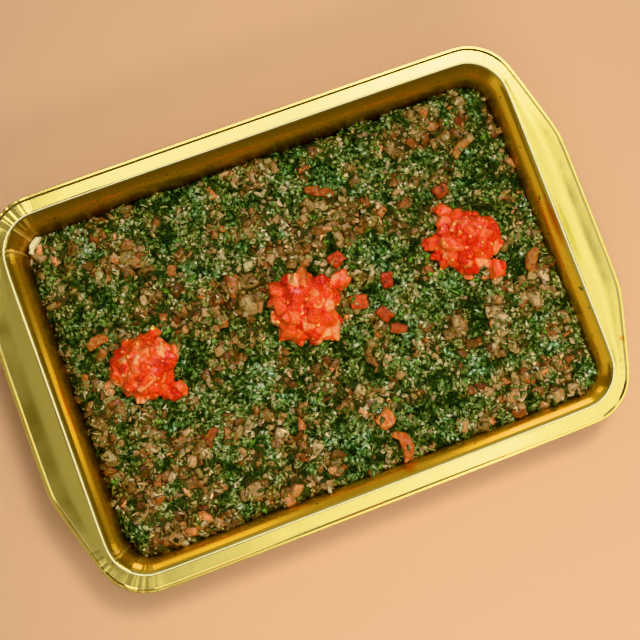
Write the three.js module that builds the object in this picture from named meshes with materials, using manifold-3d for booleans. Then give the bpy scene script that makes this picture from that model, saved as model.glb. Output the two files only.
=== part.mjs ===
// Tabbouleh salad in a gold coloured steel oven tray, with three heaps of diced tomato on top.
// Millimetres, +Z up. The origin is the middle of the tray's footprint, on the surface it stands on,
// and X runs along the tray from handle to handle.
import * as THREE from 'three';
import { mergeVertices } from 'three/addons/utils/BufferGeometryUtils.js';
import Module from 'manifold-3d';

const wasm = await Module();
wasm.setup();

// ---------- driving dimensions ----------

const DEG = Math.PI / 180;

// The tray: one pressed sheet. The mouth is the line where the flange's plane meets the wall's plane.
const tray = {
  sheet: 0.8,
  depth: 44, // from the floor's top to the flange's top
  draft: 6.5 * DEG, // how far the walls lean outwards
  mouthX: 158.5, // half the mouth's length
  mouthY: 108.8, // half the mouth's width
  mouthCorner: 19,
  cornerShrink: 0.4, // how much of an inward step the corner radius loses
  floorFillet: 7,
  lip: 12, // radius of the soft bend from the flange down into the wall
  lipCrease: 15, // degrees that the sheet turns at once at the flange's edge, where that bend begins
  rimX: 186.3, // half the length of the bead's centre line, over the handles
  rimY: 125.5,
  rimCorner: 33,
  rimCornerX: 140.5, // where the rim's corner arcs are centred
  handleSlant: 16 * DEG,
  handleSoftness: 8, // half the length of the bend at each handle's shoulder
  handleGutter: 0.5, // how deep the handle's surface dips
  bead: 1.2, // radius of the rolled edge
  beadFlat: 0.78, // the share of that radius at which its top is pressed flat
  beadRise: 0.2, // its centre's height over the flange
  beadStart: 1.8, // where the flange ends, inwards from the bead's centre line
};
const flangeZ = tray.sheet + tray.depth;
const wallRun = tray.depth * Math.tan(tray.draft);

// The bed of salad, loosely filling the tray to about half its depth. It is pushed up against the right
// and the near wall.
const bed = {
  x: 1.5,
  y: -2,
  halfX: 159.5,
  halfY: 111,
  corner: 16,
  level: 30.5, // the height of its top, in the middle of the tray
  riseRight: 2.2, // how much higher its right end lies
  riseNear: 4.4, // how much higher its near side lies
  sag: 0.4, // how much lower it lies near its edge
  shoulder: 6, // the width over which its edge rounds down
  roundness: 2.2, // exponent of that rounding
  outlineNoise: 1.8,
  swell: 0.9, // broad unevenness
  lumps: 1.3, // clumps of chopped herbs
  grain: 0.8, // single pieces
  step: 6.5, // spacing of the relief
  wallGap: 0.5,
  floorGap: 0.3,
  seed: 11,
};

// Tomato bits mixed into the salad that stand out of its top. places holds the middle, length and width
// of each.
const bits = {
  sunk: 0.05, // how far the middle of a bit lies over the surface, for its length
  thickness: 0.8, // for its width
  seed: 5,
  places: [
    [36, 11.3, 8, 6.4], [-146.2, -43.7, 7.2, 6], [146.6, -57.5, 10, 8], [-36.2, 16.8, 14, 10],
    [-41.2, 32.8, 14, 6], [-31.2, 30.8, 12, 6], [-39.1, 72.8, 9, 7], [-102.8, 72.9, 9, 8],
    [-93.9, 69.9, 8, 6], [-108.8, 69.9, 8, 6], [84, 82.5, 8, 7], [104.8, 84.4, 9, 6],
    [112.6, 75.4, 7, 6], [119.5, 77.3, 7, 6], [57.9, 40.6, 8, 7], [47.1, 44.6, 6, 6],
    [18.3, 41.7, 7, 6], [10.4, 41.7, 7, 6], [2.5, 42.7, 7, 6], [30.3, 47.6, 9, 6], [21.3, 47.7, 7, 5.6],
    [83, -39.8, 10, 9], [135, -40.7, 9, 7], [107.6, -40.7, 11, 5], [106.5, -49.6, 6, 6],
    [-129.3, -70.4, 9, 7], [-146.3, -18.9, 9, 6], [-140.2, -61.5, 9, 7], [-107.4, -96, 12, 10],
    [-72.8, -90.1, 14, 8], [-47.2, -99.9, 10, 7], [-53.2, -102.2, 10, 6], [-29.5, -102.2, 8, 6],
    [-135.1, -100, 8, 6], [-125.1, -101, 8, 6], [-97.5, -102.2, 8, 6], [62.9, -97.8, 8, 7],
    [100.1, -92.9, 11, 8], [126.5, -102.2, 8, 7], [137.3, -102.2, 7, 6], [101, -102.2, 7, 6],
  ],
};

// The three heaps of diced tomato. A lobe is a larger piece that has rolled to the heap's foot.
const heaps = [
  {
    name: 'tomato_heap_left',
    x: -109.2,
    y: 3.3,
    rx: 20.5,
    ry: 20.5,
    height: 18,
    seed: 31,
    lobes: [{ x: -90.3, y: 6.9, size: 10 }, { x: -94.2, y: -17.4, size: 9.5 }, { x: -97.7, y: 21.4, size: 9 }],
  },
  {
    name: 'tomato_heap_middle',
    x: -2.2,
    y: 4.7,
    rx: 24,
    ry: 23.5,
    height: 18.5,
    seed: 47,
    lobes: [{ x: 7.3, y: -11.1, size: 15 }, { x: 25.2, y: 12.2, size: 13 }, { x: -16.4, y: 22.3, size: 9 }],
  },
  {
    name: 'tomato_heap_right',
    x: 108,
    y: 9.2,
    rx: 23.5,
    ry: 20,
    height: 15.5,
    seed: 59,
    lobes: [{ x: 120.1, y: -15.1, size: 11 }, { x: 100.8, y: 31.5, size: 10 }, { x: 87.9, y: 14.2, size: 10 }],
  },
];
const heapBuild = { dice: 26, least: 8, most: 11.5, core: 0.84, footRise: 0.1, lobeRise: 0.1, seatGap: 0.3 };

// Tomato dice, tomato strips and a sliver of onion that lie loose on the salad.
// size is length, width and thickness, turn is about Z, and bow is how far the middle of a strip bends
// sideways, as a share of its width.
const loosePieces = [
  { name: 'tomato_dice_1', x: 26.7, y: 26.7, size: [9.5, 8.5, 6.5], turn: 20, bow: 0, seed: 3 },
  { name: 'tomato_dice_2', x: 30.5, y: -3.6, size: [11, 9, 6.5], turn: -10, bow: 0, seed: 4 },
  { name: 'tomato_dice_3', x: 51.8, y: 3.3, size: [10, 7, 6], turn: 80, bow: 0, seed: 6 },
  { name: 'tomato_dice_4', x: 42.3, y: -16.6, size: [10, 7.5, 6], turn: 115, bow: 0, seed: 8 },
  { name: 'tomato_dice_5', x: 47.6, y: -28.4, size: [9.5, 7, 6], turn: -30, bow: 0, seed: 9 },
  { name: 'tomato_dice_6', x: 19.7, y: -78.3, size: [11, 9.5, 6.5], turn: 25, bow: 0, seed: 10 },
  { name: 'tomato_dice_7', x: 104.7, y: 44.5, size: [8.5, 8, 6], turn: 15, bow: 0, seed: 15 },
  { name: 'tomato_strip_1', x: 24.6, y: -96.3, size: [20, 7.5, 5.5], turn: -82, bow: 0.7, seed: 12 },
  { name: 'tomato_strip_2', x: 32.4, y: 71.1, size: [19, 6, 5], turn: -27, bow: 0.2, seed: 13 },
  { name: 'tomato_strip_3', x: 126.9, y: 66.8, size: [14, 5.5, 5], turn: 32, bow: 0.2, seed: 16 },
  { name: 'tomato_strip_4', x: -130.6, y: 28.9, size: [13.5, 6.5, 5], turn: 5, bow: 0.3, seed: 17 },
  { name: 'tomato_strip_5', x: -84.8, y: -50.6, size: [13, 5.5, 5], turn: 48, bow: 0.3, seed: 18 },
  { name: 'tomato_strip_6', x: 143.7, y: -16.1, size: [16, 6.5, 5], turn: 52, bow: 0.2, seed: 19 },
  { name: 'onion_sliver', x: -147.9, y: 100.3, size: [12.5, 4.2, 4.5], turn: 50, bow: 0.4, seed: 14 },
];

const colours = {
  gold: new THREE.MeshStandardMaterial({ color: 0xc9a53a, roughness: 0.28, metalness: 1 }),
  salad: new THREE.MeshStandardMaterial({ color: 0x2f5a24, roughness: 0.6, metalness: 0 }),
  tomato: new THREE.MeshStandardMaterial({ color: 0xd8391c, roughness: 0.3, metalness: 0 }),
  looseTomato: new THREE.MeshStandardMaterial({ color: 0xc4552f, roughness: 0.35, metalness: 0 }),
  onion: new THREE.MeshStandardMaterial({ color: 0xe6ddb0, roughness: 0.4, metalness: 0 }),
};

// ---------- random draws and noise ----------

// A repeatable stream of numbers from 0 to 1.
function randomStream(seed) {
  let state = seed >>> 0;
  return () => {
    state = (state + 0x6d2b79f5) >>> 0;
    let t = Math.imul(state ^ (state >>> 15), 1 | state);
    t = (t + Math.imul(t ^ (t >>> 7), 61 | t)) ^ t;
    return ((t ^ (t >>> 14)) >>> 0) / 4294967296;
  };
}

// One fixed value from -1 to 1 for each point of a whole-number lattice.
function latticeValue(i, j, seed) {
  return randomStream(Math.imul(i, 374761393) ^ Math.imul(j, 668265263) ^ Math.imul(seed, 69069))() * 2 - 1;
}

// Smooth noise from -1 to 1, with features about one size across.
function noise(x, y, size, seed) {
  const u = x / size, v = y / size;
  const i = Math.floor(u), j = Math.floor(v);
  const ease = (t) => t * t * (3 - 2 * t);
  const a = ease(u - i), b = ease(v - j);
  const low = THREE.MathUtils.lerp(latticeValue(i, j, seed), latticeValue(i + 1, j, seed), a);
  const high = THREE.MathUtils.lerp(latticeValue(i, j + 1, seed), latticeValue(i + 1, j + 1, seed), a);
  return THREE.MathUtils.lerp(low, high, b);
}

// ---------- solids ----------

// A closed geometry as a solid for cutting and joining.
function toSolid(geometry) {
  const bare = geometry.clone();
  bare.deleteAttribute('normal');
  bare.deleteAttribute('uv');
  const merged = mergeVertices(bare, 1e-4);
  return new wasm.Manifold(
    new wasm.Mesh({
      numProp: 3,
      vertProperties: new Float32Array(merged.attributes.position.array),
      triVerts: new Uint32Array(merged.index.array),
    }),
  );
}

// The largest body of a solid as a geometry: scraps that a cut leaves are dropped.
function toGeometry(solid) {
  const bodies = solid.decompose().sort((a, b) => b.volume() - a.volume());
  const { vertProperties, triVerts, numProp, numVert } = bodies[0].getMesh();
  const points = new Float32Array(numVert * 3);
  for (let i = 0; i < numVert; i++) points.set(vertProperties.subarray(i * numProp, i * numProp + 3), i * 3);
  const geometry = new THREE.BufferGeometry();
  geometry.setAttribute('position', new THREE.BufferAttribute(points, 3));
  geometry.setIndex(new THREE.BufferAttribute(new Uint32Array(triVerts), 1));
  geometry.computeVertexNormals();
  return geometry;
}

// A named mesh of the part.
function node(name, geometry, material) {
  const mesh = new THREE.Mesh(geometry, material);
  mesh.name = name;
  return mesh;
}

// A closed skin through rings of equal point counts, with both ends closed by fans.
function loft(rings) {
  const count = rings[0].length;
  const points = rings.flat();
  const faces = [];
  for (let r = 0; r + 1 < rings.length; r++) {
    for (let i = 0; i < count; i++) {
      const a = r * count + i, b = r * count + ((i + 1) % count);
      faces.push(a, b, b + count, a, b + count, a + count);
    }
  }
  const cap = (first, flipped) => {
    const middle = new THREE.Vector3();
    for (let i = 0; i < count; i++) middle.add(points[first + i]);
    points.push(middle.divideScalar(count));
    const hub = points.length - 1;
    for (let i = 0; i < count; i++) {
      const a = first + i, b = first + ((i + 1) % count);
      faces.push(...(flipped ? [hub, a, b] : [hub, b, a]));
    }
  };
  cap(0, false);
  cap((rings.length - 1) * count, true);
  const geometry = new THREE.BufferGeometry().setFromPoints(points);
  geometry.setIndex(faces);
  return geometry;
}

// ---------- the tray ----------

// One quarter of an outline, from the X axis round to the Y axis, as a path of straight and round stretches:
// the end, a shoulder, a slanted side, a corner and the long side.
// An outline without handles has slant 0, so its first three stretches lie in line.
function quarter({ x, y, corner, centreX, slant, kinkY }) {
  const centre = new THREE.Vector2(centreX, y - corner);
  const acrossSlant = new THREE.Vector2(Math.cos(slant), Math.sin(slant));
  const tangent = centre.clone().addScaledVector(acrossSlant, corner);
  const alongSlant = new THREE.Vector2(-Math.sin(slant), Math.cos(slant));
  const kink = new THREE.Vector2(x, kinkY);
  const shoulderLow = new THREE.Vector2(x, kinkY - tray.handleSoftness);
  const shoulderHigh = kink.clone().addScaledVector(alongSlant, tray.handleSoftness);
  return [
    [new THREE.LineCurve(new THREE.Vector2(x, 0), shoulderLow), 1],
    [new THREE.QuadraticBezierCurve(shoulderLow, kink, shoulderHigh), 2],
    [new THREE.LineCurve(shoulderHigh, tangent), 1],
    [new THREE.EllipseCurve(centre.x, centre.y, corner, corner, slant, Math.PI / 2, false), 6],
    [new THREE.LineCurve(new THREE.Vector2(centreX, y), new THREE.Vector2(0, y)), 1],
  ];
}

// The whole outline as points that run counterclockwise, the same number whatever the outline.
function outline(shape) {
  const first = quarter(shape).flatMap(([curve, steps]) => curve.getPoints(steps).slice(0, -1));
  const top = new THREE.Vector2(0, shape.y);
  const mirrored = (points, sx, sy) => points.map((p) => new THREE.Vector2(p.x * sx, p.y * sy));
  const back = [...first.slice(1), top].reverse();
  const end = first[0];
  return [
    ...first,
    ...mirrored(back, -1, 1),
    ...mirrored([end], -1, 1),
    ...mirrored(first.slice(1), -1, -1),
    ...mirrored(back, 1, -1),
  ];
}

// Where the rim's slanted side meets its end.
const rimKinkY = (() => {
  const { rimX, rimY, rimCorner, rimCornerX, handleSlant } = tray;
  const tangentX = rimCornerX + rimCorner * Math.cos(handleSlant);
  const tangentY = rimY - rimCorner + rimCorner * Math.sin(handleSlant);
  return tangentY - (rimX - tangentX) / Math.tan(handleSlant);
})();

// The mouth's outline moved outwards by a distance, or inwards if that is negative.
function mouthOutline(offset) {
  const corner = tray.mouthCorner + offset * (offset < 0 ? tray.cornerShrink : 1);
  const x = tray.mouthX + offset, y = tray.mouthY + offset;
  return outline({ x, y, corner, centreX: x - corner, slant: 0, kinkY: rimKinkY });
}

// The outline of the bead's centre line, moved outwards by a distance.
function rimOutline(offset) {
  return outline({
    x: tray.rimX + offset,
    y: tray.rimY + offset,
    corner: tray.rimCorner + offset,
    centreX: tray.rimCornerX,
    slant: tray.handleSlant,
    kinkY: rimKinkY + offset * Math.tan(tray.handleSlant / 2),
  });
}

const atHeight = (points, z) => points.map((p) => new THREE.Vector3(p.x, p.y, z));

// Rings of a round bend in the wall, from one angle to another about a centre line at an offset and a height.
function bend({ offset, z, radius, from, to, steps }) {
  return Array.from({ length: steps + 1 }, (_, i) => {
    const a = THREE.MathUtils.lerp(from, to, i / steps) * DEG;
    return atHeight(mouthOutline(offset + radius * Math.cos(a)), z + radius * Math.sin(a));
  });
}

// Rings across the flange between the lip and the bead, which dips into a shallow gutter on the handles.
function flangeRings(lipOffset, thickness, shares) {
  const inner = mouthOutline(lipOffset);
  const outer = rimOutline(-tray.beadStart);
  const widths = inner.map((p, i) => p.distanceTo(outer[i]));
  const narrow = Math.min(...widths), wide = Math.max(...widths);
  return shares.map((share) =>
    inner.map((p, i) => {
      const dip = (tray.handleGutter * (widths[i] - narrow)) / (wide - narrow);
      const z = flangeZ - thickness - dip * Math.sin(Math.PI * share) ** 2;
      return new THREE.Vector3(
        THREE.MathUtils.lerp(p.x, outer[i].x, share),
        THREE.MathUtils.lerp(p.y, outer[i].y, share),
        z,
      );
    }),
  );
}

function makeTray() {
  const { sheet, floorFillet, lip, lipCrease, draft, bead, beadFlat, beadRise } = tray;
  const turn = 90 - draft / DEG; // the angle through which the sheet turns at the floor and at the lip
  const reach = Math.tan((turn / 2) * DEG); // tangent length of such a bend, for a radius of 1
  const floorBend = { offset: -wallRun - floorFillet * reach, z: sheet + floorFillet };
  const drop = Math.cos(lipCrease * DEG); // from the flange to the lip bend's centre, for a radius of 1
  const lipBend = {
    offset: lip * (Math.cos(draft) - (drop - Math.sin(draft)) * Math.tan(draft)),
    z: flangeZ - lip * drop,
  };
  const lipEdge = lipBend.offset - lip * Math.sin(lipCrease * DEG);
  const beadAngles = [165, 125, 90, 50, 10, -35, -80, -125];
  const shares = [0.25, 0.5, 0.75, 1];
  const rings = [
    ...bend({ ...floorBend, radius: floorFillet, from: -90, to: turn - 90, steps: 3 }),
    ...bend({ ...lipBend, radius: lip, from: 90 + turn, to: 90 + lipCrease, steps: 6 }),
    ...flangeRings(lipEdge, 0, shares),
    ...beadAngles.map((a) =>
      atHeight(
        rimOutline(bead * Math.cos(a * DEG)),
        flangeZ + beadRise + bead * Math.min(Math.sin(a * DEG), beadFlat),
      ),
    ),
    ...flangeRings(lipEdge, sheet, [...shares].reverse()),
    ...bend({ ...lipBend, radius: lip - sheet, from: 90 + lipCrease, to: 90 + turn, steps: 5 }),
    ...bend({ ...floorBend, radius: floorFillet + sheet, from: turn - 90, to: -90, steps: 3 }),
  ];
  return loft(rings.reverse());
}

// ---------- the bed of salad ----------

// How far a point lies inside the bed's uneven outline, negative outside it.
function insideBed(x, y) {
  const { halfX, halfY, corner, outlineNoise, seed } = bed;
  const qx = Math.abs(x - bed.x) - (halfX - corner), qy = Math.abs(y - bed.y) - (halfY - corner);
  const outside = Math.hypot(Math.max(qx, 0), Math.max(qy, 0)) + Math.min(Math.max(qx, qy), 0);
  const ragged = 0.6 * noise(x, y, 24, seed) + 0.4 * noise(x, y, 9, seed + 1);
  return corner - outside + outlineNoise * ragged;
}

// The height of the salad's top over the floor that the tray stands on.
function bedHeight(x, y) {
  const { level, riseRight, riseNear, sag, shoulder, roundness, swell, lumps, grain, seed } = bed;
  const depth = insideBed(x, y);
  if (depth <= 0) return -tray.sheet;
  const along = (x - bed.x) / bed.halfX, across = (y - bed.y) / bed.halfY;
  const top =
    level + riseRight * along - riseNear * across - sag * Math.hypot(along, across) ** 3 +
    swell * noise(x, y, 62, seed + 2) +
    lumps * noise(x, y, 15, seed + 3) +
    grain * noise(x, y, 4.1, seed + 4);
  if (depth >= shoulder) return top;
  return top * (1 - (1 - depth / shoulder) ** roundness) ** (1 / roundness);
}

// A block under the salad's top, raised by a distance. The points of its grid are jittered, so that no
// rows show.
function bedBlock(raised) {
  const { halfX, halfY, step, seed } = bed;
  const columns = Math.ceil((2 * (halfX + step)) / step), rows = Math.ceil((2 * (halfY + step)) / step);
  const under = -4 * step;
  const random = randomStream(seed + 5);
  const points = [], faces = [];
  for (let j = 0; j <= rows; j++) {
    for (let i = 0; i <= columns; i++) {
      const border = i === 0 || j === 0 || i === columns || j === rows;
      const jitter = border ? 0 : 0.3 * step;
      const x = (i - columns / 2) * step + jitter * (2 * random() - 1);
      const y = (j - rows / 2) * step + jitter * (2 * random() - 1);
      points.push(new THREE.Vector3(x, y, (border ? -tray.sheet : bedHeight(x, y)) + raised));
    }
  }
  const layer = points.length;
  points.push(...points.map((p) => new THREE.Vector3(p.x, p.y, under)));
  const at = (i, j) => j * (columns + 1) + i;
  for (let j = 0; j < rows; j++) {
    for (let i = 0; i < columns; i++) {
      const a = at(i, j), b = at(i + 1, j), c = at(i + 1, j + 1), d = at(i, j + 1);
      const quad = (i + j) % 2 ? [a, b, c, a, c, d] : [a, b, d, b, c, d];
      faces.push(...quad, ...quad.map((k) => k + layer).reverse());
    }
  }
  const border = [
    ...Array.from({ length: columns }, (_, i) => at(i, 0)),
    ...Array.from({ length: rows }, (_, j) => at(columns, j)),
    ...Array.from({ length: columns }, (_, i) => at(columns - i, rows)),
    ...Array.from({ length: rows }, (_, j) => at(0, rows - j)),
  ];
  border.forEach((a, k) => {
    const b = border[(k + 1) % border.length];
    faces.push(a, a + layer, b + layer, a, b + layer, b);
  });
  const geometry = new THREE.BufferGeometry().setFromPoints(points);
  geometry.setIndex(faces);
  return toSolid(geometry);
}

// The room inside the tray, a little clear of its floor and walls.
function trayRoom() {
  const { sheet, floorFillet, draft } = tray;
  const { wallGap, floorGap } = bed;
  const turn = 90 - draft / DEG;
  const floorBend = { offset: -wallRun - floorFillet * Math.tan((turn / 2) * DEG), z: sheet + floorFillet };
  const rings = bend({ ...floorBend, radius: floorFillet - floorGap, from: -90, to: turn - 90, steps: 3 });
  rings.push(atHeight(mouthOutline(-wallGap), flangeZ));
  return toSolid(loft(rings));
}

// A cut piece of vegetable: a box whose corners have moved, of a length, width and thickness.
function cutPiece(size, random, unevenness = 0.16) {
  const geometry = new THREE.BoxGeometry(1, 1, 1);
  geometry.deleteAttribute('normal');
  geometry.deleteAttribute('uv');
  const merged = mergeVertices(geometry);
  const p = merged.attributes.position;
  for (let i = 0; i < p.count; i++) {
    p.setXYZ(
      i,
      (p.getX(i) + unevenness * (2 * random() - 1)) * size[0],
      (p.getY(i) + unevenness * (2 * random() - 1)) * size[1],
      (p.getZ(i) + unevenness * (2 * random() - 1)) * size[2],
    );
  }
  return merged;
}

function makeSalad(block, room) {
  const random = randomStream(bits.seed);
  let salad = block.intersect(room);
  for (const [x, y, length, width] of bits.places) {
    const piece = cutPiece([length, width, width * bits.thickness], random);
    piece.rotateX((random() - 0.5) * 0.6).rotateY((random() - 0.5) * 0.6).rotateZ(random() * Math.PI);
    piece.translate(x, y, bedHeight(x, y) + bits.sunk * length);
    salad = salad.add(toSolid(piece).intersect(room));
  }
  return toGeometry(salad);
}

// ---------- tomato ----------

// A chunk of tomato of about one size, turned at random.
function chunk(size, random) {
  const piece = cutPiece([size, size * (0.75 + 0.3 * random()), size * (0.65 + 0.3 * random())], random);
  return piece.rotateX(random() * Math.PI).rotateY(random() * Math.PI).rotateZ(random() * Math.PI);
}

// A heap: a dome with dice fused on, spread evenly over it by the golden angle, and lobes at its foot,
// seated on the salad.
function makeHeap({ x, y, rx, ry, height, seed, lobes }, seat) {
  const { dice, least, most, core, footRise, lobeRise } = heapBuild;
  const random = randomStream(seed);
  const foot = bedHeight(x, y);
  const dome = new THREE.SphereGeometry(1, 12, 6);
  dome.rotateX(Math.PI / 2).scale(rx * core, ry * core, height * core).translate(x, y, foot);
  let heap = toSolid(dome);
  const goldenAngle = Math.PI * (3 - Math.sqrt(5));
  for (let i = 0; i < dice; i++) {
    const rise = 1 - ((i + 0.5) / dice) * (1 - footRise);
    const level = Math.sqrt(1 - rise * rise);
    const angle = i * goldenAngle + 0.3 * random();
    const size = THREE.MathUtils.lerp(least, most, random());
    const piece = chunk(size, random).translate(
      x + (rx - 0.45 * size) * level * Math.cos(angle),
      y + (ry - 0.45 * size) * level * Math.sin(angle),
      foot + (height - 0.45 * size) * rise,
    );
    heap = heap.add(toSolid(piece));
  }
  for (const lobe of lobes) {
    const z = bedHeight(lobe.x, lobe.y) + lobeRise * lobe.size;
    heap = heap.add(toSolid(chunk(lobe.size, random).translate(lobe.x, lobe.y, z)));
  }
  return toGeometry(heap.subtract(seat));
}

// A loose piece, tapered and bowed along its length, seated on the salad.
function makeLoose({ x, y, size, turn, bow, seed }, seat, room) {
  const random = randomStream(seed);
  const [length, width, thickness] = size;
  const segments = bow ? 3 : 1;
  const geometry = new THREE.BoxGeometry(length, width, thickness, segments, 1, 1);
  geometry.deleteAttribute('normal');
  geometry.deleteAttribute('uv');
  const piece = mergeVertices(geometry);
  const p = piece.attributes.position;
  for (let i = 0; i < p.count; i++) {
    const along = p.getX(i) / length;
    const taper = 1 - (bow ? 1.2 * along * along : 0.15 * random());
    p.setXYZ(
      i,
      p.getX(i) + 0.08 * length * (random() - 0.5),
      p.getY(i) * taper + bow * width * (0.5 - 4 * along * along) + 0.14 * width * (random() - 0.5),
      p.getZ(i) + 0.2 * thickness * (random() - 0.5),
    );
  }
  piece.rotateZ(turn * DEG).translate(x, y, bedHeight(x, y) + 0.28 * thickness);
  return toGeometry(toSolid(piece).subtract(seat).intersect(room));
}

// ---------- the whole ----------

const room = trayRoom();
const block = bedBlock(0);
const seat = bedBlock(heapBuild.seatGap);

const part = new THREE.Group();
part.add(node('tray', makeTray(), colours.gold));
part.add(node('salad', makeSalad(block, room), colours.salad));
for (const heap of heaps) part.add(node(heap.name, makeHeap(heap, seat), colours.tomato));
for (const piece of loosePieces) {
  const material = piece.name.startsWith('onion') ? colours.onion : colours.looseTomato;
  part.add(node(piece.name, makeLoose(piece, seat, room), material));
}

export default part;
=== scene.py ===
import functools
import math
from contextlib import contextmanager

import bmesh
import bpy
import numpy as np
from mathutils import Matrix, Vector
from mathutils.bvhtree import BVHTree


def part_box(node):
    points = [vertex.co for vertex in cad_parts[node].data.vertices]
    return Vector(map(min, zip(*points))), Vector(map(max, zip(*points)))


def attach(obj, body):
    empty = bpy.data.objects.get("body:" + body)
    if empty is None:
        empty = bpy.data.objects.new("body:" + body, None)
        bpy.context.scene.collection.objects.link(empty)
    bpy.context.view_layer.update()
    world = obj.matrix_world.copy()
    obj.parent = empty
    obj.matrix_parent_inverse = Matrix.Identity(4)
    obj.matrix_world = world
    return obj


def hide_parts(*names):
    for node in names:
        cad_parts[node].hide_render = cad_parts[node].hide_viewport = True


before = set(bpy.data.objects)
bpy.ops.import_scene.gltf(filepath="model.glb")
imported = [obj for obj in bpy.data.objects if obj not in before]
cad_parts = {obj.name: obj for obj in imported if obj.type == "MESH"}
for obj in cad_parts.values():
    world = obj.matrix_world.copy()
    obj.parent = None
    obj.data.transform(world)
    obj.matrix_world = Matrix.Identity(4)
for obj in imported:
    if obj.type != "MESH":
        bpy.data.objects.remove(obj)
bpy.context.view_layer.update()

# Tabbouleh salad in a gold coloured oven tray, with three heaps of diced tomato.
# Metres, in the part's own frame: X from handle to handle, Y across, Z up from the floor.

mm = 0.001
scene = bpy.context.scene
few = 1.0


# Working with Blender's tools

def pick(piece):
    bpy.ops.object.select_all(action="DESELECT")
    piece.select_set(True)
    bpy.context.view_layer.objects.active = piece


@contextmanager
def editing(piece, isWanted=None):
    # Edit mode with every vertex selected, or just those for which isWanted(vertex) holds.
    pick(piece)
    bpy.ops.object.mode_set(mode="EDIT")
    bpy.ops.mesh.select_mode(type="VERT")
    bpy.ops.mesh.select_all(action="DESELECT" if isWanted else "SELECT")
    if isWanted:
        shape = bmesh.from_edit_mesh(piece.data)
        for vertex in shape.verts:
            vertex.select_set(isWanted(vertex))
        shape.select_flush_mode()
        bmesh.update_edit_mesh(piece.data)
    yield
    bpy.ops.object.mode_set(mode="OBJECT")


def addModifier(piece, kind, **values):
    modifier = piece.modifiers.new(kind.lower(), kind)
    for name, value in values.items():
        setattr(modifier, name, value)


def applyModifiers(piece):
    pick(piece)
    for modifier in list(piece.modifiers):
        bpy.ops.object.modifier_apply(modifier=modifier.name)


def copyOfNode(nodeName, pieceName):
    # A new piece with the CAD node's shape, its loose triangles merged.
    piece = bpy.data.objects.new(pieceName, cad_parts[nodeName].data.copy())
    scene.collection.objects.link(piece)
    piece.data.materials.clear()
    with editing(piece):
        bpy.ops.mesh.remove_doubles(threshold=0.01 * mm)
    return piece


def addFusing(piece, voxel, rounding):
    # Runs a piece's parts together and softens its edges.
    addModifier(piece, "REMESH", mode="VOXEL", voxel_size=voxel)
    addModifier(piece, "SMOOTH", factor=0.5, iterations=rounding)


def addRelief(piece, name, size, height, level=0.5, **values):
    # Lumps of a size and a height. The level is what stays in place, from 0, the hollows, to 1, the tops.
    texture = bpy.data.textures.new(name, "CLOUDS")
    texture.noise_scale = size
    texture.noise_depth = 2
    addModifier(piece, "DISPLACE", texture=texture, texture_coords="LOCAL", strength=height,
                mid_level=level, **values)


def markTop(piece, lowest):
    # A vertex group of what faces up above a height, so that relief stays off the sides and the underside.
    group = piece.vertex_groups.new(name="top")
    for vertex in piece.data.vertices:
        weight = min(max(vertex.normal.z * 1.6 - 0.3, 0.0), 1.0)
        if vertex.co.z > lowest and weight > 0.0:
            group.add([vertex.index], weight, "REPLACE")


def finishPiece(piece, material, nodeName):
    piece.data.materials.clear()
    piece.data.materials.append(material)
    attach(piece, "root")
    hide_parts(nodeName)
    triangles = sum(len(face.vertices) - 2 for face in piece.data.polygons)
    print("made", piece.name, triangles, "triangles")


# Material tools

def newMaterial(name):
    material = bpy.data.materials.new(name)
    material.use_nodes = True
    tree = material.node_tree
    return material, tree, tree.nodes["Principled BSDF"]


def setSocket(socket, value):
    if isinstance(value, bpy.types.NodeSocket):
        socket.id_data.links.new(value, socket)
    elif socket.type == "RGBA" and len(value) == 3:
        socket.default_value = (*value, 1.0)
    else:
        socket.default_value = value


def addNode(tree, kind, **values):
    node = tree.nodes.new(kind)
    for name, value in values.items():
        setattr(node, name, value)
    return node


def setInputs(node, **values):
    # Each value is a fixed one, or the socket that it comes from.
    for name, value in values.items():
        setSocket(node.inputs[name.replace("_", " ")], value)


def addRamp(factor, stops):
    # stops is a list of (place, (red, green, blue)).
    ramp = addNode(factor.id_data, "ShaderNodeValToRGB")
    elements = ramp.color_ramp.elements
    while len(elements) > 1:
        elements.remove(elements[-1])
    for index, (place, colour) in enumerate(stops):
        element = elements[0] if index == 0 else elements.new(place)
        element.position = place
        element.color = (*colour, 1.0)
    setInputs(ramp, Fac=factor)
    return ramp.outputs["Color"]


def treeOf(*values):
    return next(value.id_data for value in values if isinstance(value, bpy.types.NodeSocket))


def addMath(operation, first, second, kind="ShaderNodeMath", result="Value"):
    node = addNode(treeOf(first, second), kind, operation=operation)
    setSocket(node.inputs[0], first)
    setSocket(node.inputs[1], second)
    return node.outputs[result]


def addVectorMath(operation, first, second, result="Vector"):
    return addMath(operation, first, second, "ShaderNodeVectorMath", result)


def total(*values):
    return functools.reduce(functools.partial(addMath, "ADD"), values)


def product(*values):
    return functools.reduce(functools.partial(addMath, "MULTIPLY"), values)


def remap(value, start, end, low=0.0, high=1.0, kind="LINEAR"):
    # From low, where the value is at its start, to high, where it is at its end, and held beyond both.
    node = addNode(value.id_data, "ShaderNodeMapRange", interpolation_type=kind)
    setInputs(node, Value=value, From_Min=start, From_Max=end, To_Min=low, To_Max=high)
    return node.outputs["Result"]


def mixColours(factor, first, second, blend="MIX"):
    # A Mix node has sockets for each type of data, so those for colours go by number.
    node = addNode(treeOf(factor, first, second), "ShaderNodeMix", data_type="RGBA", blend_type=blend)
    for number, value in ((0, factor), (6, first), (7, second)):
        setSocket(node.inputs[number], value)
    return node.outputs[2]


def multiplyColours(first, second):
    return mixColours(1.0, first, second, "MULTIPLY")


def addNoise(vector, size, detail=2.0, roughness=0.5):
    node = addNode(vector.id_data, "ShaderNodeTexNoise")
    setInputs(node, Vector=vector, Scale=1.0 / size, Detail=detail, Roughness=roughness)
    return node.outputs["Fac"]


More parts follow.
